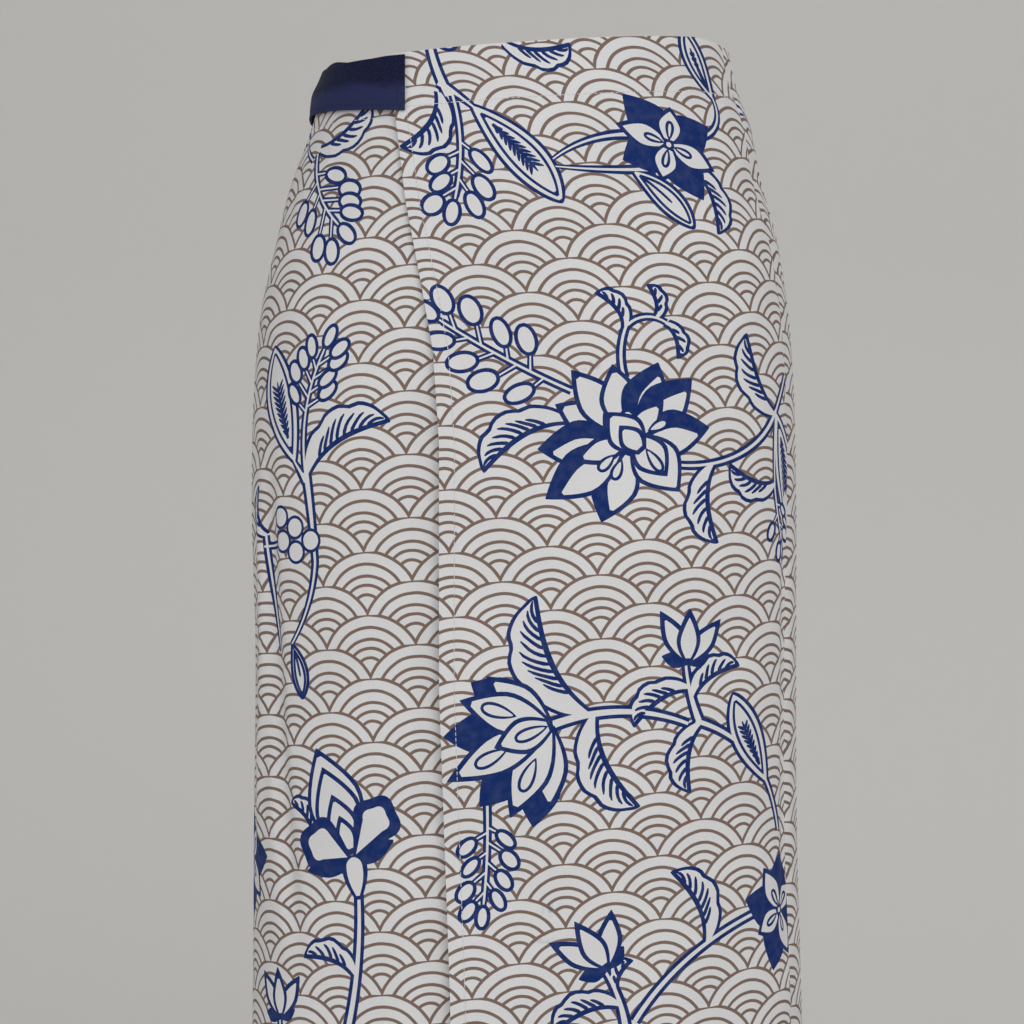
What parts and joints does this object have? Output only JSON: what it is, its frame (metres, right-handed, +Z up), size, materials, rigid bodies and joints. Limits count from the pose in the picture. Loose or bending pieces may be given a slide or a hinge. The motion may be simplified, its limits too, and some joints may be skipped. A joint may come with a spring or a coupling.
{
  "type": "worn batik wrap sarong",
  "caption": "Ankle-length wrap skirt of printed cotton in a hollow worn form, overlapping at the front, with a plain navy waist band.",
  "frame": {"origin": "middle of the waist opening, level with the top edge, where the wearer's waist holds it", "axes": "+Z up, out of the waist; -Y to the front, where the panels overlap; +X to the right in the front view, towards the seam of the over panel"},
  "size_m": [0.3942, 0.2683, 1.008],
  "materials": {
    "over_print": "matt printed cotton, brown wave scales under blue flowers on off-white",
    "under_print": "matt printed cotton, brown wave scales under blue flowers on off-white",
    "back_print": "matt printed cotton, brown wave scales under blue flowers on off-white",
    "navy_band": "plain navy cotton, faint lustre"
  },
  "bodies": {
    "root": {"over_front": "over_print", "under_front": "under_print", "back": "back_print", "waist_band": "navy_band"}
  },
  "joints": []
}
